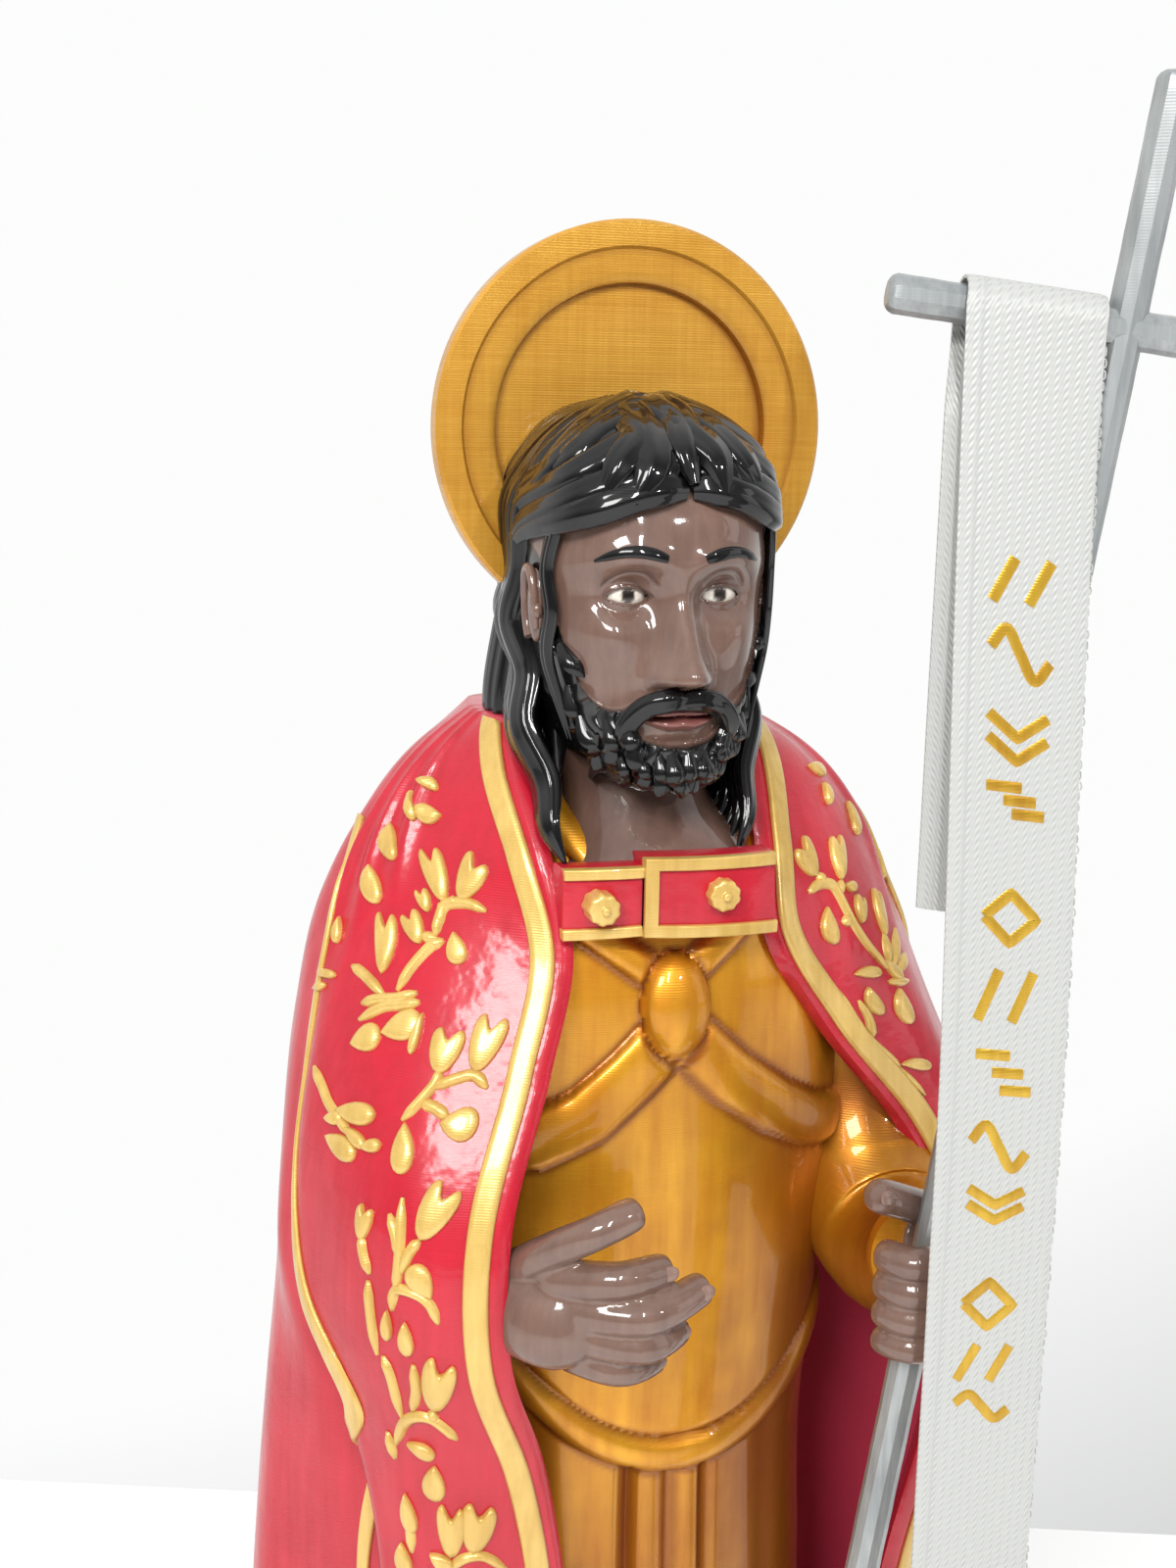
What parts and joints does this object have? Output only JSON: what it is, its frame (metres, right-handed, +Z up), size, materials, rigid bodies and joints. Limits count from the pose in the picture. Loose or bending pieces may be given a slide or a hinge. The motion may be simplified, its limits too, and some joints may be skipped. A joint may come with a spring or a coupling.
{
  "type": "painted statuette of a standing saint",
  "caption": "Painted devotional statuette: bearded saint in a long cope, with a disc halo, a tall cross staff and a hanging ribbon.",
  "frame": {"origin": "centre of the round base, on its underside", "axes": "+Z up, the saint looks along -Y, +X is the side of the hand that holds the staff"},
  "size_m": [0.0901, 0.09, 0.2717],
  "materials": {
    "crimson_lacquer": "glossy lacquer",
    "gold_paint": "brushed metallic paint under gloss lacquer",
    "skin_paint": "glossy lacquer",
    "black_paint": "glossy lacquer",
    "silver_paint": "satin metallic paint",
    "white_satin": "satin weave",
    "base_paint": "dark antique gold"
  },
  "bodies": {
    "root": {"base": "base_paint", "figure": "crimson_lacquer", "halo": "gold_paint", "cross_staff": "silver_paint", "ribbon": "white_satin"}
  },
  "joints": []
}
